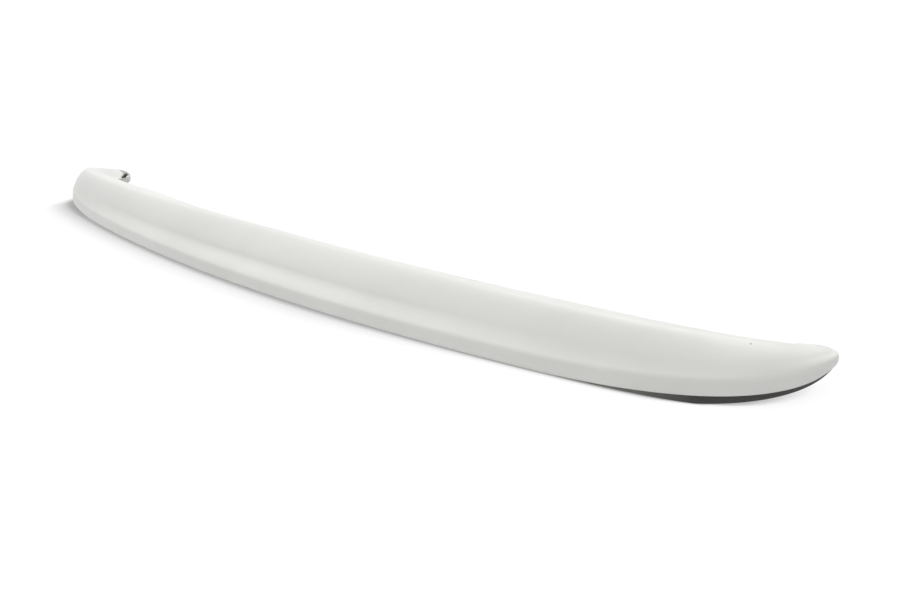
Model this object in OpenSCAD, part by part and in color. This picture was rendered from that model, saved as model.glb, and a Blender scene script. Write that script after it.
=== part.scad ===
// Rear lip spoiler for a boot lid: one moulded shell, open underneath.
// X runs along the span, +Y points to the front of the car and +Z is up.
// The origin lies on the ground plane under the middle of the shell's box.

/* [Plan] */
// Length of the rear rim from the middle to one tip, measured along the rim
half_length = 700; // [500:10:900]
// Turn of the rim from the middle to a tip that is spread evenly, in degrees
bow_angle = 15.3; // [6:0.1:22]
// Turn of the rim round the corner, in degrees
corner_angle = 80; // [60:1:95]
// Length of rim before the tip over which the corner turns
corner_length = 430; // [360:5:500]

/* [Section at the middle] */
// Height of the crest above the ground
crest_height = 54; // [48:0.5:64]
// How far the crest lies in front of the rear rim
crest_inset = 49.5; // [42:0.5:58]
// Depth from the rear rim to the front edge
depth = 103; // [96:1:125]
// Height of the steep band that stands on the rear rim
band_height = 12.5; // [8:0.5:16]
// How far the band leans in at its top
band_lean = 2; // [0:0.5:6]
// Slope of the shelf above the band, in degrees
shelf_angle = 38; // [25:1:60]
// Steepest slope of the rear face, in degrees
face_angle = 60; // [45:1:75]
// Slope at which the top skin meets the front edge, in degrees
front_angle = 20; // [10:1:30]
// Height of the top skin above the ground at the front edge
front_height = 31; // [26:0.5:36]

/* [Tips] */
// Height of the rear rim at a tip
tip_lift = 25.5; // [20:0.5:30]
// Height of the shell at a tip, from its rim to its crest
tip_height = 6.5; // [6:0.5:10]
// Depth of the shell at a tip
tip_depth = 49; // [42:1:56]
// How far the crest lies in from the rim at a tip
tip_inset = 12; // [9:0.5:16]
// Length of the rounded nose that closes a tip
nose_length = 18.5; // [10:0.5:28]
// Length of the crest that falls toward a tip
crest_fall = 200; // [160:5:280]
// Length of the rim that rises toward a tip
rim_rise = 290; // [240:5:360]
// Length of the rear foot that rises toward a tip
foot_rise = 144; // [110:2:200]
// Length of the front edge that draws in toward a tip
front_taper = 500; // [420:5:600]

/* [Wall] */
// Thickness of the moulded wall
wall = 3; // [2:0.25:4]
// Width of the foot on which the shell stands
foot_width = 2; // [1.5:0.25:3]
// How far the foot stands in from the edge of the skin
foot_step = 2; // [1:0.25:3]
// Gap under the edge of the skin, over the ground
rim_gap = 1; // [0.5:0.25:2]
// Height of the skin's cut edge at the front
edge_height = 2.5; // [1.5:0.25:2.75]
// Height from the front foot to the top skin at the front edge
front_skirt = 5; // [4:0.5:8]
// Length over which the crease between the band and the shelf is rounded, each way
crease_round = 2.5; // [1:0.5:3]
// How far the rim flares out below the band
flare = 1; // [0:0.25:1.5]
// Height of that flare
flare_height = 4; // [3:0.5:5]

/* [Hidden] */

// Powers that shape the change of each size from the middle to a tip
corner_power = 3.15;
crest_fall_power = 2.45;
crest_inset_power = 1.3;
rim_rise_power = 1.75;
foot_rise_power = 1.15;
front_taper_power = 2.25;
front_rise_power = 2;
lean_power = 4;
band_fade_power = 3;
// Share of the height that the band takes up at a tip
tip_band_share = 0.35;
// Slope of the shelf where the crease has faded out
faded_angle = 72;
// Place of the steepest part of the face, as shares of the crest's inset and height
steep_inset = 0.49;
steep_height = 0.48;
// How far the foot hangs below the rim at a tip
tip_foot_drop = 3;
// Length over which the hollow closes toward a tip
hollow_fade = 90;
// Lowest height of the hollow over the foot
least_hollow = 0.5;
// Point that the nose closes to, as shares of a tip's depth and height, and its end's size
nose_inset = 0.34;
nose_height = 0.59;
nose_end = 0.31;

// Steps along the half rim for working out its path
path_steps = 700;
// Sections from the middle to a tip, set closer toward the tip
sections = 42;
section_crowding = 1.7;
// Steps round each stretch of the section
face_steps = 5;
crest_steps = 7;
top_steps = 8;

step_length = half_length / path_steps;

// Value that goes from the middle's to the tip's as its share goes from 0 to 1
function between(middle, tip, share) = middle + (tip - middle) * share;

// Share from 0 to 1 that starts and ends level
function ease(t) = 0.5 - 0.5 * cos(180 * t);

// Share from 0 to 1 along the last stretch before the tip, shaped by a power
function toward_tip(s, stretch, power) =
    (max(0, s - half_length + stretch) / stretch) ^ power;

// Share from 0 to 1 along the whole half, shaped by a power
function whole(s, power) = (s / half_length) ^ power;

// Heading of the rim at arc length s: an even bow and the turn of the corner
function heading(s) = bow_angle * s / half_length
    + corner_angle * ease(toward_tip(s, corner_length, corner_power));

// Points of the right half of the rim, one for each step
rim_path = [
    for (i = 0, x = 0, y = 0; i <= path_steps;
        x = x + step_length * cos(heading((i + 0.5) * step_length)),
        y = y + step_length * sin(heading((i + 0.5) * step_length)),
        i = i + 1)
        [x, y]
];

function rim_z(s) = between(rim_gap, tip_lift, toward_tip(s, rim_rise, rim_rise_power));
function crest_z(s) = between(crest_height, tip_lift + tip_height,
    toward_tip(s, crest_fall, crest_fall_power));
function crest_n(s) = between(crest_inset, tip_inset, whole(s, crest_inset_power));
function front_n(s) =
    between(depth, tip_depth, ease(toward_tip(s, front_taper, front_taper_power)));
function front_z(s) =
    min(between(front_height, tip_lift, whole(s, front_rise_power)), crest_z(s) - 1);
function rear_foot_z(s) =
    between(0, tip_lift - tip_foot_drop, toward_tip(s, foot_rise, foot_rise_power));
function front_foot_z(s) =
    min(max(rear_foot_z(s), front_z(s) - front_skirt), front_z(s) - edge_height);

function cubic(a, b, c, d, t) =
    (1 - t) ^ 3 * a + 3 * (1 - t) ^ 2 * t * b + 3 * (1 - t) * t ^ 2 * c + t ^ 3 * d;

// Points of a smooth curve from p to q, without p, with a slope and a pull at each end
function sweep_to(p, q, p_angle, q_angle, p_pull, q_pull, steps) =
    let (
        reach = norm(q - p),
        a = p + p_pull * reach * [cos(p_angle), sin(p_angle)],
        b = q - q_pull * reach * [cos(q_angle), sin(q_angle)]
    )
    [for (i = [1:steps]) cubic(p, a, b, q, i / steps)];

// Outer skin at arc length s as [inset, height], from the rear rim to the front edge
function skin(s) =
    let (
        low = rim_z(s),
        high = crest_z(s),
        fade = whole(s, band_fade_power),
        band = between(band_height, tip_band_share * (high - low), fade),
        rise = min(flare_height, 0.5 * band),
        out = flare * (1 - fade),
        lean = band_lean * (1 - whole(s, lean_power)),
        shelf = between(shelf_angle, faded_angle, fade),
        bend = [out, low + rise],
        crease = [lean + out, low + band],
        soft = min(crease_round, 0.3 * band),
        below = crease - soft * (crease - bend) / norm(crease - bend),
        above = crease + soft * [cos(shelf), sin(shelf)],
        crest = [crest_n(s), high],
        steep = [steep_inset * crest.x, crease.y + steep_height * (high - crease.y)],
        front = [front_n(s), front_z(s)]
    )
    concat(
        [[0, low], [0.3 * out, low + 0.4 * rise], bend],
        [below, 0.25 * below + 0.5 * crease + 0.25 * above, above],
        sweep_to(above, steep, shelf, face_angle, 0.35, 0.35, face_steps),
        sweep_to(steep, crest, face_angle, 0, 0.35, 0.3, crest_steps),
        sweep_to(crest, front, 0, -front_angle, 0.3, 0.35, top_steps)
    );

// Point of the skin moved into the wall by its thickness
function inside(points, j) =
    let (along = points[j + 1] - points[j - 1])
    points[j] + wall * [along.y, -along.x] / norm(along);

// Ceiling of the hollow at arc length s, from the rear to the front
function ceiling(s, points) =
    let (
        back = foot_step + foot_width,
        room = front_n(s) - 2 * back,
        open = 1 - toward_tip(s, hollow_fade, 1),
        first = 4,
        last = len(points) - 2,
        count = last - first
    )
    [
        for (j = [first:last])
            let (
                q = inside(points, j),
                under = min(max((q.x - back) / room, 0.02 * (j - first + 1)),
                    1 - 0.02 * (last - j + 1)),
                share = between((j - first + 0.5) / (count + 1), under, open),
                base = between(rear_foot_z(s), front_foot_z(s), share),
                arch = least_hollow * (0.5 + 2 * share * (1 - share))
            )
            [back + room * share, base + max(arch, open * (q.y - base))]
    ];

// Closed section at arc length s: the skin, the front foot, the ceiling and the rear foot
function section(s) =
    let (
        points = skin(s),
        front = points[len(points) - 1],
        edge_z = front.y - edge_height,
        under = ceiling(s, points),
        back = foot_step + foot_width,
        front_foot = front_foot_z(s),
        rear_foot = rear_foot_z(s)
    )
    concat(
        points,
        [[front.x, edge_z], [front.x - foot_step, edge_z]],
        [[front.x - foot_step, front_foot], [front.x - back, front_foot]],
        [for (j = [len(under) - 1:-1:0]) under[j]],
        [[back, rear_foot], [foot_step, rear_foot], [foot_step, rim_z(s)]]
    );

// Size of the section in the nose, where it closes like an ellipse
function nose_scale(s) =
    let (u = min(1, max(0, (s - half_length + nose_length) / nose_length)))
    between(nose_end, 1, sqrt(1 - u * u));

// Section number k in place, negative on the left
function placed_section(k) =
    let (
        side = k < 0 ? -1 : 1,
        i = round(path_steps * (1 - (1 - abs(k) / sections) ^ section_crowding)),
        s = i * step_length,
        base = rim_path[i],
        turn = heading(s),
        size = nose_scale(s),
        centre = [nose_inset * tip_depth, between(rim_z(s), crest_z(s), nose_height)]
    )
    [
        for (p = section(s))
            let (q = centre + size * (p - centre))
            [side * (base.x - q.x * sin(turn)), base.y + q.x * cos(turn), q.y]
    ];

module spoiler_shell() {
    rings = [for (k = [-sections:sections]) placed_section(k)];
    around = len(rings[0]);
    count = len(rings);
    lengthwise = [for (ring = rings, p = ring) p.y];
    middle_y = 0.5 * (min(lengthwise) + max(lengthwise));
    color("whitesmoke")
        translate([0, -middle_y, 0])
        polyhedron(
            points = [for (ring = rings) each ring],
            faces = concat(
                [[for (j = [around - 1:-1:0]) j]],
                [
                    for (i = [0:count - 2], j = [0:around - 1])
                        let (
                            a = i * around + j,
                            b = i * around + (j + 1) % around,
                            c = b + around,
                            d = a + around
                        )
                        each i < sections ? [[a, b, d], [b, c, d]] : [[a, b, c], [a, c, d]]
                ],
                [[for (j = [0:around - 1]) (count - 1) * around + j]]
            )
        );
}

spoiler_shell();
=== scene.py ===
"""Dresses a packed boot lip spoiler: one moulded shell, white gelcoat outside, raw laminate inside."""

import math

import bpy
import numpy as np
from bpy.props import FloatProperty, FloatVectorProperty, IntProperty, PointerProperty
from mathutils import Matrix, Vector


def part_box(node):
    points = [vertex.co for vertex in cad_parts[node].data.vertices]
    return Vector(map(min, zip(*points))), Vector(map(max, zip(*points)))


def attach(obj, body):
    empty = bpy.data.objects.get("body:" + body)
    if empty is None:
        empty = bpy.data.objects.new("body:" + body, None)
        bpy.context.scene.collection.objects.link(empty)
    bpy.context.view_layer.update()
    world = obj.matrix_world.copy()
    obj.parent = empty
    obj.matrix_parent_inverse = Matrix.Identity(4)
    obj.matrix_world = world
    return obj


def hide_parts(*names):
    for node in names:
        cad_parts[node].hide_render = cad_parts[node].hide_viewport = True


bl_info = {
    "name": "Boot Lip Spoiler",
    "version": (1, 0, 0),
    "blender": (4, 5, 0),
    "location": "3D View > Sidebar > Spoiler",
    "description": "Makes the lip spoiler's moulded shell, its finishes and a plain studio around it",
    "category": "Add Mesh",
}

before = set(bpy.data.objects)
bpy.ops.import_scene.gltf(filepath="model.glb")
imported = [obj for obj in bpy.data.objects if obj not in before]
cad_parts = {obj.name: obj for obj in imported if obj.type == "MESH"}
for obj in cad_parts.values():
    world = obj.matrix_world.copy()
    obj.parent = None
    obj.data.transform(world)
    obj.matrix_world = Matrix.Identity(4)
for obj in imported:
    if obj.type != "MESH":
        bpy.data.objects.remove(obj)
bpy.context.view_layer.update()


def length(name, description, millimetres):
    return FloatProperty(
        name=name, description=description, default=millimetres / 1000, min=0, precision=4, unit="LENGTH"
    )


def angle(name, description, degrees):
    return FloatProperty(
        name=name, description=description, default=math.radians(degrees), subtype="ANGLE"
    )


def share(name, description, default):
    return FloatProperty(
        name=name, description=description, default=default, min=0, max=1, subtype="FACTOR"
    )


def amount(name, description, default):
    return FloatProperty(name=name, description=description, default=default, min=0)


def colour(name, description, default):
    return FloatVectorProperty(
        name=name, description=description, default=default, size=3, min=0, max=1, subtype="COLOR"
    )


class ShellSizes(bpy.types.PropertyGroup):
    """Sizes of the shell; crest and tips are refined from the part's source, the slot is added."""

    half_length: length("Half length", "Length of the rear rim from the middle to one tip", 700)
    bow_angle: angle("Bow", "Turn of the rim that is spread evenly", 15.3)
    corner_angle: angle("Corner", "Turn of the rim round the corner", 80)
    corner_length: length("Corner length", "Length of rim over which the corner turns", 430)
    crest_height: length("Crest height", "Height of the crest above the ground", 53.3)
    crest_inset: length("Crest inset", "How far the crest lies in front of the rear rim", 54.5)
    depth: length("Depth", "Depth from the rear rim to the front edge", 103)
    band_height: length("Band height", "Height of the steep band on the rear rim", 12.5)
    band_lean: length("Band lean", "How far the band leans in at its top", 2)
    shelf_angle: angle("Shelf slope", "Slope of the shelf above the band", 38)
    face_angle: angle("Face slope", "Steepest slope of the rear face", 60)
    front_angle: angle("Front slope", "Slope at which the top meets the front edge", 20)
    front_height: length("Front height", "Height of the top skin at the front edge", 31)
    tip_lift: length("Tip lift", "Height of the rear rim at a tip", 25.5)
    tip_height: length("Tip height", "Height of the shell at a tip", 4.8)
    tip_depth: length("Tip depth", "Depth of the shell at a tip", 52)
    tip_inset: length("Tip inset", "How far the crest lies in from the rim at a tip", 18)
    nose_length: length("Nose length", "Length of the rounded nose that closes a tip", 18.5)
    crest_fall: length("Crest fall", "Length of the crest that falls toward a tip", 200)
    rim_rise: length("Rim rise", "Length of the rim that rises toward a tip", 290)
    foot_rise: length("Foot rise", "Length of the rear foot that rises toward a tip", 152)
    front_taper: length("Front taper", "Length of the front edge that draws in", 500)
    wall: length("Wall", "Thickness of the moulded wall", 3)
    foot_width: length("Foot width", "Width of the foot on which the shell stands", 2)
    foot_step: length("Foot step", "How far the foot stands in from the skin", 2)
    rim_gap: length("Rim gap", "Gap under the edge of the skin", 1)
    edge_height: length("Edge height", "Height of the skin's cut edge at the front", 2.5)
    front_skirt: length("Front skirt", "Height from the front foot to the top skin", 5)
    tip_skirt: length("Tip skirt", "Height of that skirt at a tip", 10.5)
    crease_round: length("Crease rounding", "Length over which the crease is rounded, each way", 2.5)
    flare: length("Flare", "How far the rim flares out below the band", 1)
    flare_height: length("Flare height", "Height of that flare", 4)
    rim_round: length("Rim rounding", "Rounding of the rim's lower edge", 0.9)
    edge_round: length("Edge rounding", "Rounding of the front edge and the feet", 0.5)
    wave_depth: length("Wave depth", "Depth of the slow waves that the mould left", 0.4)
    slot_start: length("Slot start", "Where the slot starts on a tip's inner edge, before its end", 28)
    slot_end: length("Slot end", "Where the slot ends, before the tip's end", 7)
    slot_reach: length("Slot reach", "How far in from the inner edge the slot ends", 13)
    slot_width: length("Slot width", "Width of the slot at a tip", 6.5)
    slot_depth: length("Slot depth", "Depth of the slot at a tip", 6)
    stations: IntProperty(name="Stations", description="Rings along the shell", default=620, min=40)


class ShellFinishes(bpy.types.PropertyGroup):
    """Colours of the shell's three finishes."""

    gelcoat: colour("Gelcoat", "White gelcoat of the outer skin", (0.80, 0.805, 0.775))
    # The cut-edge grey is also painted on the foot's outer face as a painted floor shadow
    cut_edge: colour("Cut edge", "Trimmed and sanded laminate", (0.42, 0.425, 0.39))
    laminate: colour("Laminate", "Raw laminate of the inside", (0.032, 0.036, 0.030))


class StudioSettings(bpy.types.PropertyGroup):
    """Light, floor and camera of the studio."""

    sky: amount("Sky light", "Strength of the light from all round", 0.1)
    near: amount("Near light", "Strength of the soft light on the camera's side", 0.82)
    near_height: angle("Near height", "Height of the near light over the ground", 45)
    near_side: angle("Near side", "Side from which the near light comes, from the span", 290)
    far: amount("Far light", "Strength of the soft light above and behind", 2.4)
    far_height: angle("Far height", "Height of the far light over the ground", 75)
    far_side: angle("Far side", "Side from which the far light comes, from the span", 108)
    spread: angle("Spread", "Width of a soft light as seen from the shell", 60)
    floor: share("Floor", "Grey level of the floor", 0.85)
    floor_shade: share("Floor shade", "Share of the floor's own shading that the camera sees", 0.1)
    contact: length("Contact shadow", "Reach of the contact shadow that the camera sees", 60)
    contact_level: share("Contact level", "Level of the floor where it is wholly shaded", 0.4)
    lens: amount("Lens", "Focal length of the camera, in millimetres", 35)
    azimuth: angle("Azimuth", "Turn of the camera round the shell", 42.9155)
    elevation: angle("Elevation", "Height of the camera over the horizon", 19.1248)
    roll: angle("Roll", "Turn of the camera about its own line of sight", 0.1926)
    distance: length("Distance", "Distance of the camera along its line of sight", 1016.3759)
    across: FloatProperty(
        name="Across", description="Offset of the aim to the right", default=0.255888, unit="LENGTH"
    )
    down: FloatProperty(
        name="Down", description="Offset of the aim downward", default=-0.026506, unit="LENGTH"
    )


# Powers, slopes and shares that shape the shell from its middle to its tips, and a pinhole's place
CORNER_POWER = 3.15
CREST_FALL_POWER = 2.45
CREST_INSET_POWER = 1.3
RIM_RISE_POWER = 1.75
FOOT_RISE_POWER = 1.15
FRONT_TAPER_POWER = 2.25
FRONT_RISE_POWER = 2
LEAN_POWER = 4
BAND_FADE_POWER = 3
TIP_BAND_SHARE = 0.35
FADED_ANGLE = math.radians(79)
TIP_FRONT_ANGLE = math.radians(14)
TIP_FACE_ANGLE = math.radians(38)
TIP_FRONT_POWER = 8
STEEP_INSET = (0.41, 0.30)
STEEP_HEIGHT = (0.37, 0.67)
CREST_PULL = (0.2, 0.35)
ROUNDING_POWER = 4
TIP_FOOT_DROP = 0.003
SKIRT_POWER = 6
HOLLOW_FADE = 0.09
LEAST_HOLLOW = 0.0005
NOSE_INSET = 0.34
NOSE_HEIGHT = 0.6
NOSE_END = 0.4
PINHOLE = (0.5673, 0.0110, 0.0478)
PATH_STEPS = 700
STATION_CROWDING = 1.5

# Where finishes change: distances before a tip, and rows of a ring
PLAIN_EDGE = 0.06
SANDED_LENGTH = 0.016
SANDED_START = 1.4
SANDED_ROWS = (38, 52)
SANDED_MARGIN = 4
# Within FOOT_DARK of a tip the foot stays dark; further in, over FOOT_BLEND, its last FOOT_ROWS rows
# turn grey: a painted shadow standing in for the floor's soft shadow under the rim
FOOT_DARK = 0.15
FOOT_BLEND = 0.12
FOOT_ROWS = 3

# The floor's contact shadow: places along the span between which it fades, and by how much
SHADOW_FADES = ((0.1, 0.62, 0.3), (0.5, 0.6, 0.3), (-0.55, -0.62, 0.25))
SHADED_OPENNESS = 0.66
FLOOR_WHITE = 1.05


def between(middle, tip, part):
    """Value that goes from the middle's to the tip's as its share goes from 0 to 1."""
    return middle + (tip - middle) * part


def ease(t):
    """Half a cosine wave: a share from 0 to 1 that starts and ends level."""
    return 0.5 - 0.5 * np.cos(np.pi * t)


def at(x, z):
    """Points of the section, one for each station, from their inset and height."""
    return np.stack(np.broadcast_arrays(x, z), -1)


def direction(turn):
    """Unit vectors at the given slopes."""
    return np.stack([np.cos(turn), np.sin(turn)], -1)


def line(p, q, steps):
    """Straight rows from p to q, without p: p + t (q - p)."""
    t = (np.arange(1, steps + 1) / steps)[:, None, None]
    return p + t * (q - p)


def arc(p, corner, q, steps):
    """Rows on the quadratic curve from p to q that the corner pulls, with both ends."""
    t = np.linspace(0, 1, steps)[:, None, None]
    return (1 - t) ** 2 * p + 2 * (1 - t) * t * corner + t**2 * q


def sweep(p, q, p_turn, q_turn, p_pull, q_pull, steps):
    """Rows on the cubic curve from p to q, without p, with a slope and a pull at each end."""
    reach = np.linalg.norm(q - p, axis=-1, keepdims=True)
    a = p + p_pull * reach * direction(p_turn)
    b = q - q_pull * reach * direction(q_turn)
    t = (np.arange(1, steps + 1) / steps)[:, None, None]
    return (1 - t) ** 3 * p + 3 * (1 - t) ** 2 * t * a + 3 * (1 - t) * t**2 * b + t**3 * q


def soften(before, corner, after, radius, steps=5):
    """A corner rounded by a quadratic curve, with one more row close to each of its ends."""

    def toward(other):
        gap = other - corner
        size = np.linalg.norm(gap, axis=-1, keepdims=True)
        return gap / size, size

    back, back_size = toward(before)
    on, on_size = toward(after)
    r = np.minimum(radius, 0.4 * np.minimum(back_size, on_size))
    curve = arc(corner + r * back, corner, corner + r * on, steps)
    return np.concatenate([(corner + 1.5 * r * back)[None], curve, (corner + 1.5 * r * on)[None]])


class ShellForm:
    """The shell as rings of points: a section that changes along the bowed rim."""

    def __init__(self, sizes):
        self.sizes = sizes
        k = np.linspace(-1, 1, 2 * (sizes.stations // 2) + 1)
        self.along = np.sign(k) * sizes.half_length * (1 - (1 - np.abs(k)) ** STATION_CROWDING)
        self.s = np.abs(self.along)

    def toward_tip(self, stretch, power):
        """Share of the last stretch before the tip that is passed, to a power."""
        start = self.sizes.half_length - stretch
        return (np.maximum(0, self.s - start) / stretch) ** power

    def whole(self, power):
        """Share of the half rim that is passed, to a power."""
        return (self.s / self.sizes.half_length) ** power

    def heading(self, s):
        """Heading of the rim: an even bow, and the eased turn of the corner."""
        z = self.sizes
        corner = np.maximum(0, s - z.half_length + z.corner_length) / z.corner_length
        return z.bow_angle * s / z.half_length + z.corner_angle * ease(corner**CORNER_POWER)

    def rim(self):
        """Place of the rim at each station: the running sum of unit steps along its heading."""
        step = self.sizes.half_length / PATH_STEPS
        turn = self.heading((np.arange(PATH_STEPS) + 0.5) * step)
        x = np.concatenate([[0], np.cumsum(step * np.cos(turn))])
        y = np.concatenate([[0], np.cumsum(step * np.sin(turn))])
        marks = np.arange(PATH_STEPS + 1) * step
        return np.interp(self.s, marks, x), np.interp(self.s, marks, y)

    def heights(self):
        """Heights of the rim, the crest, the front edge, its underside and the two feet."""
        z = self.sizes
        rim = between(z.rim_gap, z.tip_lift, self.toward_tip(z.rim_rise, RIM_RISE_POWER))
        fall = self.toward_tip(z.crest_fall, CREST_FALL_POWER)
        crest = between(z.crest_height, z.tip_lift + z.tip_height, fall)
        front = between(z.front_height, z.tip_lift, self.whole(FRONT_RISE_POWER))
        front = np.minimum(front, crest - 0.001)
        lifted = self.toward_tip(z.foot_rise, FOOT_RISE_POWER)
        rear_foot = between(0, z.tip_lift - TIP_FOOT_DROP, lifted)
        deepened = self.whole(SKIRT_POWER)
        front_foot = front - between(z.front_skirt, z.tip_skirt, deepened)
        edge = front - between(z.edge_height, z.tip_skirt - 0.001, deepened)
        return rim, crest, front, edge, rear_foot, front_foot

    def skin(self):
        """Outer skin: flare, band, rounded crease, then three cubic sweeps to the front edge."""
        z = self.sizes
        low, high, front_z, _, _, _ = self.heights()
        fade = self.whole(BAND_FADE_POWER)
        band = between(z.band_height, TIP_BAND_SHARE * (high - low), fade)
        rise = np.minimum(z.flare_height, 0.5 * band)
        out = z.flare * (1 - fade)
        lean = z.band_lean * (1 - self.whole(LEAN_POWER))
        shelf = between(z.shelf_angle, FADED_ANGLE, fade)
        rim = at(0, low)
        bend = at(out, low + rise)
        crease = at(lean + out, low + band)
        soft = np.minimum(z.crease_round, 0.3 * band)[:, None]
        slant = crease - bend
        below = crease - soft * slant / np.linalg.norm(slant, axis=-1, keepdims=True)
        above = crease + soft * direction(shelf)
        crest = at(between(z.crest_inset, z.tip_inset, self.whole(CREST_INSET_POWER)), high)
        turn = self.whole(ROUNDING_POWER)
        steep = at(
            between(*STEEP_INSET, turn) * crest[:, 0],
            between(crease[:, 1], high, between(*STEEP_HEIGHT, turn)),
        )
        pull = between(*CREST_PULL, turn)[:, None]
        taper = ease(self.toward_tip(z.front_taper, FRONT_TAPER_POWER))
        front = at(between(z.depth, z.tip_depth, taper), front_z)
        level = np.zeros_like(low)
        tip = self.whole(TIP_FRONT_POWER)
        face = between(z.face_angle, TIP_FACE_ANGLE, tip)
        fall = between(z.front_angle, TIP_FRONT_ANGLE, tip)
        rows = [
            arc(rim, at(0.2 * out, low + 0.4 * rise), bend, 6)[1:],
            line(bend, below, 4),
            arc(below, crease, above, 9)[1:],
            sweep(above, steep, shelf, face, 0.35, 0.3, 14),
            sweep(steep, crest, face, level, pull, pull, 18),
            sweep(crest, front, level, -fall, 0.3, 0.35, 24),
        ]
        return rim, np.concatenate(rows), front

    def waved(self, rows):
        """The skin let in by slow waves: a sum of long sines of span and girth, never outward."""
        z = self.sizes
        slope = np.gradient(rows, axis=0)
        normal = np.stack([slope[..., 1], -slope[..., 0]], -1)
        normal /= np.linalg.norm(normal, axis=-1, keepdims=True)
        u = self.along[None, :]
        v = np.linspace(0, 1, len(rows))[:, None]
        wave = (
            0.34 * np.sin(u * 31 + 4.1 * v + 0.4)
            + 0.26 * np.sin(u * 53 - 7.3 * v + 2.1)
            + 0.22 * np.sin(u * 17 + 9.7 * v + 4.0)
            + 0.18 * np.sin(u * 83 + 3.1 * v + 1.3)
        )
        edge = np.sin(np.pi * v) ** 0.7 * (1 - self.toward_tip(0.05, 1))[None, :]
        return rows + normal * ((0.5 + 0.5 * wave) * edge * z.wave_depth)[..., None]

    def slotted(self, rows):
        """The skin let in along the slot: a stadium about a line from the inner edge toward the end."""
        z = self.sizes
        start = np.array([z.slot_start, 0])
        run = np.array([z.slot_end, z.slot_reach]) - start
        taper = ease(self.toward_tip(z.front_taper, FRONT_TAPER_POWER))
        from_edge = between(z.depth, z.tip_depth, taper) - rows[..., 0]
        spot = np.stack(np.broadcast_arrays(z.half_length - self.s, from_edge), -1) - start
        t = np.clip((spot @ run) / (run @ run), 0, 1)
        gap = np.linalg.norm(spot - t[..., None] * run, axis=-1)
        part = ease(np.clip(1.5 - 2 * gap / z.slot_width, 0, 1))
        rows = rows.copy()
        rows[..., 1] -= part * z.slot_depth
        return rows, part

    def ceiling(self, skin):
        """Ceiling of the hollow: the skin moved in by the wall, and closed toward the tips."""
        z = self.sizes
        _, _, _, _, rear_foot, front_foot = self.heights()
        slope = skin[2:] - skin[:-2]
        inward = np.stack([slope[..., 1], -slope[..., 0]], -1)
        inward /= np.linalg.norm(inward, axis=-1, keepdims=True)
        inner = (skin[1:-1] + z.wall * inward)[12::2]
        count = len(inner)
        back = z.foot_step + z.foot_width
        taper = ease(self.toward_tip(z.front_taper, FRONT_TAPER_POWER))
        room = between(z.depth, z.tip_depth, taper) - 2 * back
        opened = 1 - self.toward_tip(HOLLOW_FADE, 1)
        order = np.arange(1, count + 1)[:, None]
        under = np.maximum((inner[..., 0] - back) / room, 0.012 * order)
        under = np.minimum(under, 1 - 0.012 * (count + 1 - order))
        part = between((order - 0.5) / count, under, opened)
        base = between(rear_foot, front_foot, part)
        arch = LEAST_HOLLOW * (0.5 + 2 * part * (1 - part))
        height = base + np.maximum(arch, opened * (inner[..., 1] - base))
        return np.stack([back + room * part, height], -1)

    def ring(self):
        """Closed section, the slot's share at each point, and the rows where finishes start."""
        z = self.sizes
        low, _, _, edge_z, rear_foot, front_foot = self.heights()
        rim, skin, front = self.skin()
        ceiling = self.ceiling(skin)[::-1]
        back = z.foot_step + z.foot_width
        edge = at(front[:, 0], edge_z)
        step = at(front[:, 0] - z.foot_step, edge_z)
        toe = at(front[:, 0] - z.foot_step, front_foot)
        heel = at(front[:, 0] - back, front_foot)
        inner = at(back, rear_foot)
        outer = at(z.foot_step, rear_foot)
        ledge = at(z.foot_step, low)
        skin, slot = self.slotted(self.waved(skin))
        parts = [
            soften(ledge, rim, skin[1], z.rim_round, 7)[1:],
            skin[2:-1],
            soften(skin[-2], front, edge, z.edge_round),
            soften(front, edge, step, z.edge_round),
            step[None],
            soften(step, toe, heel, z.edge_round, 3),
            soften(toe, heel, ceiling[0], z.edge_round, 3),
            ceiling,
            soften(ceiling[-1], inner, outer, z.edge_round, 3),
            soften(inner, outer, ledge, z.edge_round, 3),
            ledge[None],
        ]
        ends = np.cumsum([len(part) for part in parts])
        opened = np.zeros((ends[-1], len(self.s)))
        opened[ends[0] : ends[1]] = slot[2:-1]
        return np.concatenate(parts), opened, (ends[1] + 3, ends[4] - 1, ends[9])

    def placed(self):
        """Rings in space: the section shrinks into the nose, then stands on the rim's normal."""
        z = self.sizes
        rows, opened, starts = self.ring()
        low, high, _, _, _, _ = self.heights()
        u = np.clip((self.s - z.half_length + z.nose_length) / z.nose_length, 0, 1)
        size = between(NOSE_END, 1, np.sqrt(1 - u * u))
        inset = NOSE_INSET * z.tip_depth
        middle = between(low, high, NOSE_HEIGHT)
        x, y = self.rim()
        turn = self.heading(self.s)
        n = inset + size * (rows[..., 0] - inset)
        place = np.stack(
            [
                np.sign(self.along) * (x - n * np.sin(turn)),
                y + n * np.cos(turn),
                middle + size * (rows[..., 1] - middle),
            ],
            -1,
        )
        place[..., 1] -= 0.5 * (place[..., 1].min() + place[..., 1].max())
        return place.transpose(1, 0, 2), opened.T, starts


def domed_ends(rings, steps=4, rise=0.0006):
    """Rings with a low dome closed to a point on each end: each shrinks as a cosine, rises as a sine."""

    def dome(last, before):
        centre = last.mean(0)
        outward = centre - before.mean(0)
        outward /= np.linalg.norm(outward)
        t = (np.arange(1, steps) / steps * math.pi / 2)[:, None, None]
        return centre + np.cos(t) * (last - centre) + rise * np.sin(t) * outward, centre + rise * outward

    left, left_point = dome(rings[0], rings[1])
    right, right_point = dome(rings[-1], rings[-2])
    return np.concatenate([left[::-1], rings, right]), left_point, right_point


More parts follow.
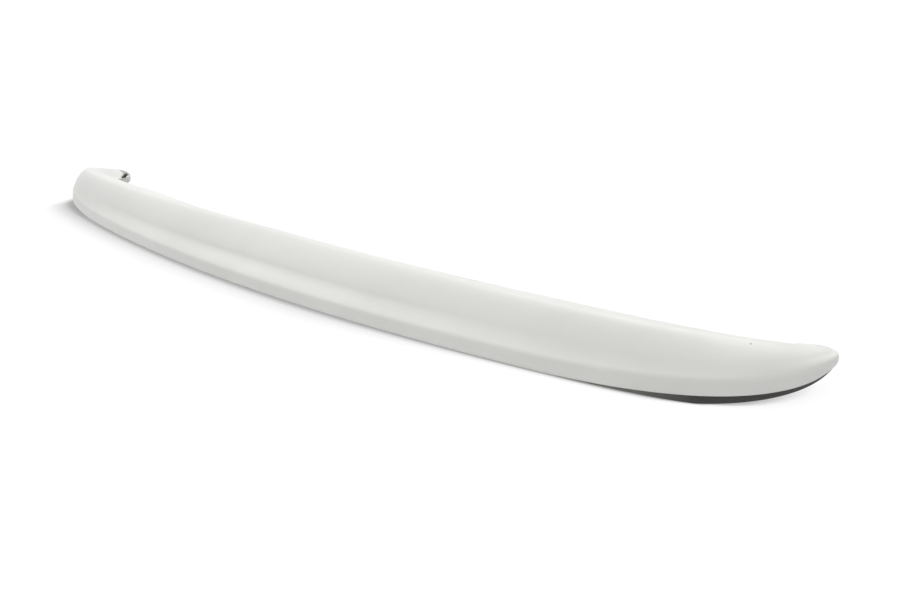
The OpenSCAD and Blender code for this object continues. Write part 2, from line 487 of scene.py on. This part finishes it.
def grid_mesh(name, rings, points):
    """Closed mesh: quads between neighbouring rings, and a fan of triangles to each end's point."""
    count, around = rings.shape[:2]
    i, j = np.meshgrid(np.arange(count - 1), np.arange(around), indexing="ij")
    a = i * around + j
    b = i * around + (j + 1) % around
    quads = np.stack([a, a + around, b + around, b], -1).reshape(-1, 4)
    first, last = count * around, count * around + 1
    k = np.arange(around)
    on = (k + 1) % around
    start = np.stack([k, on, np.full(around, first)], -1)
    base = (count - 1) * around
    end = np.stack([base + on, base + k, np.full(around, last)], -1)
    mesh = bpy.data.meshes.new(name)
    mesh.from_pydata(
        np.concatenate([rings.reshape(-1, 3), points]).tolist(),
        [],
        quads.tolist() + start.tolist() + end.tolist(),
    )
    mesh.shade_smooth()
    end_station = np.full(around, count - 1)
    station = np.concatenate([i.reshape(-1), 0 * end_station, end_station])
    return mesh, np.concatenate([j.reshape(-1), k, k]), station


class Value:
    """A node's output that takes part in Python expressions, each of which adds a Math node."""

    def __init__(self, finish, socket):
        self.finish = finish
        self.socket = socket

    def maths(self, operation, *values):
        return self.finish.node("ShaderNodeMath", {"operation": operation}, dict(enumerate(values)))

    def __add__(self, other):
        return self.maths("ADD", self, other)

    def __sub__(self, other):
        return self.maths("SUBTRACT", self, other)

    def __rsub__(self, other):
        return self.maths("SUBTRACT", other, self)

    def __mul__(self, other):
        return self.maths("MULTIPLY", self, other)

    __radd__ = __add__
    __rmul__ = __mul__


class Finish:
    """A material under construction."""

    def __init__(self, name):
        self.material = bpy.data.materials.new(name)
        self.material.use_nodes = True
        self.tree = self.material.node_tree
        self.tree.nodes.clear()

    def node(self, kind, settings=None, inputs=None, output=0):
        """Adds a node: its settings first, then its sockets' values or links."""
        made = self.tree.nodes.new(kind)
        for key, value in (settings or {}).items():
            setattr(made, key, value)
        for key, value in (inputs or {}).items():
            if isinstance(value, Value):
                self.tree.links.new(value.socket, made.inputs[key])
            else:
                made.inputs[key].default_value = value
        return Value(self, made.outputs[output]) if made.outputs else made

    def place(self, centre=(0, 0, 0), stretch=(1, 1, 1)):
        """Object coordinates, moved so that the centre is at zero, then stretched."""
        seen = self.node("ShaderNodeTexCoord", output="Object")
        moved = self.node(
            "ShaderNodeVectorMath", {"operation": "SUBTRACT"}, {0: seen, 1: centre}
        )
        return self.node("ShaderNodeVectorMath", {"operation": "MULTIPLY"}, {0: moved, 1: stretch})

    def noise(self, place, scale, detail=2.0, roughness=0.5):
        """Smooth noise from 0 to 1."""
        return self.node(
            "ShaderNodeTexNoise",
            {"normalize": True},
            {"Vector": place, "Scale": scale, "Detail": detail, "Roughness": roughness},
        )

    def ramp(self, value, low, high, to_low=0.0, to_high=1.0):
        """Smooth step from one value to another as the input passes from low to high."""
        return self.node(
            "ShaderNodeMapRange",
            {"interpolation_type": "SMOOTHSTEP"},
            {"Value": value, "From Min": low, "From Max": high, "To Min": to_low, "To Max": to_high},
        )

    def blend(self, part, a, b):
        """Colour between a and b."""
        return self.node("ShaderNodeMix", {"data_type": "RGBA"}, {0: part, 6: a, 7: b}, 2)

    def attribute(self, name):
        """A number stored on the piece's points."""
        return self.node("ShaderNodeAttribute", {"attribute_name": name}, output="Fac")

    def bump(self, height, distance):
        """A normal tilted by a height."""
        return self.node("ShaderNodeBump", {}, {"Height": height, "Distance": distance})

    def close(self, shader):
        self.node("ShaderNodeOutputMaterial", {}, {"Surface": shader})
        return self.material


def tone(colour_value, level=1.0):
    """A colour with its level changed, as four numbers."""
    return (*[min(1.0, channel * level) for channel in colour_value], 1.0)


def make_gelcoat(finishes):
    """White gelcoat: satin, faintly mottled, fine orange peel, a pinhole, sanded at the tips, and a slot
    painted dark: raw laminate and painted shade.
    """
    finish = Finish("white_gelcoat")
    place = finish.place()
    cloud = finish.noise(place, 9.0, 3.0)
    haze = finish.noise(finish.place((0.3, 0.1, 0), (1, 1, 2.5)), 38.0, 2.0)
    peel = finish.noise(place, 420.0, 1.0)
    base = finish.blend(
        finish.ramp(cloud, 0.3, 0.7), tone(finishes.gelcoat, 0.97), tone(finishes.gelcoat, 1.02)
    )
    reach = finish.node(
        "ShaderNodeVectorMath", {"operation": "LENGTH"}, {0: finish.place(PINHOLE)}, "Value"
    )
    base = finish.blend(finish.ramp(reach, 0.0004, 0.0013), tone(finishes.cut_edge, 0.9), base)
    grain = finish.noise(place, 900.0, 2.0, 0.7)
    sanded = finish.blend(
        finish.ramp(grain, 0.35, 0.65), tone(finishes.cut_edge, 0.8), tone(finishes.cut_edge, 1.35)
    )
    ragged = finish.noise(place, 260.0, 2.0)
    worn = finish.ramp(finish.attribute("sanded") + ragged * 0.3, 0.6, 0.72)
    # The slot is painted the laminate's dark colour: partly raw laminate, partly painted shade of an
    # opening into the hollow
    slot_dark_and_shade = finish.ramp(finish.attribute("slot"), 0.15, 0.55)
    skin = finish.blend(worn, base, sanded)
    coat = finish.node(
        "ShaderNodeBsdfPrincipled",
        {},
        {
            "Base Color": finish.blend(slot_dark_and_shade, skin, tone(finishes.laminate)),
            "Roughness": finish.ramp(haze, 0.25, 0.75, 0.34, 0.44) + (worn + slot_dark_and_shade) * 0.3,
            "IOR": 1.5,
            "Normal": finish.bump(peel + worn * grain * 3.0, 0.00008),
        },
    )
    return finish.close(coat)


def make_cut_edge(finishes):
    """Trimmed laminate: grey, matt, speckled with glass ends."""
    finish = Finish("cut_edge")
    place = finish.place()
    grain = finish.noise(place, 700.0, 3.0, 0.65)
    speck = finish.ramp(grain, 0.35, 0.68)
    edge = finish.node(
        "ShaderNodeBsdfPrincipled",
        {},
        {
            "Base Color": finish.blend(
                speck, tone(finishes.cut_edge, 0.7), tone(finishes.cut_edge, 1.3)
            ),
            "Roughness": finish.ramp(grain, 0.3, 0.7, 0.6, 0.8),
            "IOR": 1.5,
            "Normal": finish.bump(grain, 0.0002),
        },
    )
    return finish.close(edge)


def make_laminate(finishes):
    """Raw laminate: dark resin over short glass strands; away from the tips the foot's outer face is
    painted grey as a painted floor shadow.
    """
    finish = Finish("raw_laminate")
    place = finish.place()
    drift = finish.noise(place, 60.0, 2.0)
    strands = []
    for turn in (0.3, 1.35, 2.4):
        along, across = math.cos(turn), math.sin(turn)
        lay = finish.node(
            "ShaderNodeMapping",
            {"vector_type": "POINT"},
            {"Vector": place, "Rotation": (0.2, 0.3, turn), "Scale": (1, 9 + along, 9 + across)},
        )
        strands.append(finish.ramp(finish.noise(lay, 110.0, 1.0), 0.48, 0.66))
    mat = strands[0] * 0.4 + strands[1] * 0.35 + strands[2] * 0.35
    resin = finish.blend(mat, tone(finishes.laminate, 0.75), tone(finishes.laminate, 2.2))
    raw = finish.blend(drift * 0.4, resin, tone(finishes.laminate, 1.5))
    inside = finish.node(
        "ShaderNodeBsdfPrincipled",
        {},
        {
            # Cut-edge grey painted on the foot's outer rows: a painted floor shadow
            "Base Color": finish.blend(finish.attribute("foot_painted_shadow"), raw, tone(finishes.cut_edge)),
            "Roughness": finish.ramp(mat + drift * 0.5, 0.2, 1.0, 0.42, 0.7),
            "IOR": 1.5,
            "Normal": finish.bump(mat + drift, 0.0006),
        },
    )
    return finish.close(inside)


class SPOILER_OT_make_shell(bpy.types.Operator):
    """Makes the moulded shell as one closed mesh with its three finishes."""

    bl_idname = "spoiler.make_shell"
    bl_label = "Moulded shell"

    def execute(self, context):
        form = ShellForm(context.scene.spoiler_sizes)
        rings, opened, (edge_row, inside_row, ledge_row) = form.placed()
        domed, left, right = domed_ends(rings)
        mesh, row, station = grid_mesh("moulded_shell", domed, [left, right])
        finishes = context.scene.spoiler_finishes
        for make in (make_gelcoat, make_cut_edge, make_laminate):
            mesh.materials.append(make(finishes))
        inside = (row >= inside_row) & (row < ledge_row)
        slots = np.where(inside, 2, np.where((row >= edge_row) & (row < inside_row), 1, 0))
        slots[row >= ledge_row] = 1
        extra = (len(domed) - len(rings)) // 2
        s = np.pad(form.s, extra, mode="edge")
        to_tip = context.scene.spoiler_sizes.half_length - s
        slots[(slots == 1) & (row < inside_row) & (to_tip[station] < PLAIN_EDGE)] = 0
        mesh.polygons.foreach_set("material_index", slots.astype(np.int32))
        rows = np.arange(domed.shape[1])
        first, last = SANDED_ROWS
        inner_side = np.clip((rows - first) / (last - first), 0, 1) * (rows < edge_row - SANDED_MARGIN)
        near_tip = np.clip(SANDED_START - to_tip[:, None] / SANDED_LENGTH, 0, 1)
        sanded = near_tip * inner_side[None, :]
        opened = np.pad(opened, ((extra, extra), (0, 0)))
        # Painted floor shadow: the foot's outer rows turn grey away from the tips
        from_tip = np.clip((to_tip[:, None] - FOOT_DARK) / FOOT_BLEND, 0, 1)
        foot_painted_shadow = from_tip * (rows >= ledge_row - FOOT_ROWS)
        for name, values in (("sanded", sanded), ("slot", opened), ("foot_painted_shadow", foot_painted_shadow)):
            store = mesh.attributes.new(name, "FLOAT", "POINT")
            store.data.foreach_set("value", np.append(values.reshape(-1), [0, 0]).astype(np.float32))
        mesh.update()
        if mesh.validate(verbose=True):
            raise RuntimeError("the shell's mesh had faults")
        piece = bpy.data.objects.new("moulded_shell", mesh)
        context.scene.collection.objects.link(piece)
        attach(piece, "root")
        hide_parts("spoiler_shell")
        return {"FINISHED"}


class SPOILER_OT_set_stage(bpy.types.Operator):
    """Sets the plain floor, the soft lights and the camera."""

    bl_idname = "spoiler.set_stage"
    bl_label = "Studio"

    def execute(self, context):
        studio = context.scene.spoiler_studio
        self.lay_floor(context, studio)
        self.light(context, studio)
        self.aim(context, studio)
        view = context.scene.view_settings
        view.view_transform = "Standard"
        return {"FINISHED"}

    def lay_floor(self, context, studio):
        """A wide square that the camera sees as white, with a contact shadow drawn by openness.

        The shadow fades by place toward each tip to follow the photo, so it isn't a true one there.
        """
        half = 40.0
        mesh = bpy.data.meshes.new("studio_floor")
        corners = [(-half, -half, 0), (half, -half, 0), (half, half, 0), (-half, half, 0)]
        mesh.from_pydata(corners, [], [(0, 1, 2, 3)])
        finish = Finish("studio_floor")
        paint = finish.node(
            "ShaderNodeBsdfDiffuse", {}, {"Color": (studio.floor, studio.floor, studio.floor, 1)}
        )
        openness = finish.node(
            "ShaderNodeAmbientOcclusion", {"samples": 16}, {"Distance": studio.contact}, "AO"
        )
        across = finish.node(
            "ShaderNodeSeparateXYZ", {}, {0: finish.node("ShaderNodeTexCoord", output="Object")}
        )
        for start, end, lift in SHADOW_FADES:
            openness = openness + finish.ramp(across, start, end, 0.0, lift)
        shaded = self.glow(finish, studio.contact_level)
        white = self.glow(finish, FLOOR_WHITE)
        contact = self.mix(finish, finish.ramp(openness, SHADED_OPENNESS, 1.0), shaded, white)
        shown = self.mix(finish, studio.floor_shade, contact, paint)
        mirrored = finish.node("ShaderNodeLightPath", output="Is Glossy Ray")
        seen = finish.node("ShaderNodeLightPath", output="Is Camera Ray")
        lit = self.mix(finish, mirrored, paint, white)
        mesh.materials.append(finish.close(self.mix(finish, seen, lit, shown)))
        floor = bpy.data.objects.new("studio_floor", mesh)
        context.scene.collection.objects.link(floor)

    def glow(self, finish, strength):
        """A white glow of one strength."""
        return finish.node("ShaderNodeEmission", {}, {"Color": (1, 1, 1, 1), "Strength": strength})

    def mix(self, finish, part, a, b):
        """A shader between a and b."""
        return finish.node("ShaderNodeMixShader", {}, {0: part, 1: a, 2: b})

    def light(self, context, studio):
        """A weak sky, which the camera and reflections see as white, and two soft lights."""
        world = bpy.data.worlds.new("studio_sky")
        world.use_nodes = True
        nodes, links = world.node_tree.nodes, world.node_tree.links
        nodes.clear()
        path = nodes.new("ShaderNodeLightPath")
        seen = nodes.new("ShaderNodeMath")
        seen.operation = "MAXIMUM"
        links.new(path.outputs["Is Camera Ray"], seen.inputs[0])
        links.new(path.outputs["Is Glossy Ray"], seen.inputs[1])
        level = nodes.new("ShaderNodeMapRange")
        level.inputs["To Min"].default_value = studio.sky
        level.inputs["To Max"].default_value = 1.0
        links.new(seen.outputs[0], level.inputs["Value"])
        sky = nodes.new("ShaderNodeBackground")
        sky.inputs["Color"].default_value = (1, 1, 1, 1)
        links.new(level.outputs["Result"], sky.inputs["Strength"])
        out = nodes.new("ShaderNodeOutputWorld")
        links.new(sky.outputs[0], out.inputs["Surface"])
        context.scene.world = world
        self.lamp(context, "near_light", studio.near, studio.near_height, studio.near_side)
        self.lamp(context, "far_light", studio.far, studio.far_height, studio.far_side)

    def lamp(self, context, name, strength, height, side):
        """A soft distant light, from its height over the ground and its side from the span."""
        data = bpy.data.lights.new(name, "SUN")
        data.energy = strength
        data.angle = context.scene.spoiler_studio.spread
        source = Vector(
            (
                math.cos(side) * math.cos(height),
                math.sin(side) * math.cos(height),
                math.sin(height),
            )
        )
        lamp = bpy.data.objects.new(name, data)
        lamp.rotation_mode = "QUATERNION"
        lamp.rotation_quaternion = source.to_track_quat("Z", "Y")
        context.scene.collection.objects.link(lamp)

    def aim(self, context, studio):
        """The camera, from its azimuth, elevation, roll, distance and offset of the aim."""
        phi, e = studio.azimuth, studio.elevation
        ahead = Vector((-math.sin(phi) * math.cos(e), math.cos(phi) * math.cos(e), -math.sin(e)))
        right = Vector((math.cos(phi), math.sin(phi), 0))
        up = right.cross(ahead)
        rim_middle = Vector((0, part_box("spoiler_shell")[0][1], 0))
        place = rim_middle + right * studio.across + up * studio.down - ahead * studio.distance
        turned = Matrix((right, up, -ahead)).transposed() @ Matrix.Rotation(-studio.roll, 3, "Z")
        data = bpy.data.cameras.new("studio_camera")
        data.lens = studio.lens
        data.sensor_width = 36
        camera = bpy.data.objects.new("studio_camera", data)
        camera.matrix_world = Matrix.Translation(place) @ turned.to_4x4()
        context.scene.collection.objects.link(camera)
        context.scene.camera = camera


class SPOILER_PT_sidebar(bpy.types.Panel):
    """Lists what makes the spoiler and its studio."""

    bl_idname = "SPOILER_PT_sidebar"
    bl_label = "Boot Lip Spoiler"
    bl_space_type = "VIEW_3D"
    bl_region_type = "UI"
    bl_category = "Spoiler"

    def draw(self, context):
        scene = context.scene
        for group in (scene.spoiler_sizes, scene.spoiler_finishes, scene.spoiler_studio):
            column = self.layout.column()
            for key in group.bl_rna.properties.keys():
                if key not in {"rna_type", "name"}:
                    column.prop(group, key)
        self.layout.operator(SPOILER_OT_make_shell.bl_idname)
        self.layout.operator(SPOILER_OT_set_stage.bl_idname)


CLASSES = (
    ShellSizes,
    ShellFinishes,
    StudioSettings,
    SPOILER_OT_make_shell,
    SPOILER_OT_set_stage,
    SPOILER_PT_sidebar,
)


def register():
    for item in CLASSES:
        bpy.utils.register_class(item)
    bpy.types.Scene.spoiler_sizes = PointerProperty(type=ShellSizes)
    bpy.types.Scene.spoiler_finishes = PointerProperty(type=ShellFinishes)
    bpy.types.Scene.spoiler_studio = PointerProperty(type=StudioSettings)


def unregister():
    del bpy.types.Scene.spoiler_studio
    del bpy.types.Scene.spoiler_finishes
    del bpy.types.Scene.spoiler_sizes
    for item in reversed(CLASSES):
        bpy.utils.unregister_class(item)


def main():
    register()
    bpy.ops.spoiler.make_shell()
    bpy.ops.spoiler.set_stage()


if __name__ == "__main__":
    main()
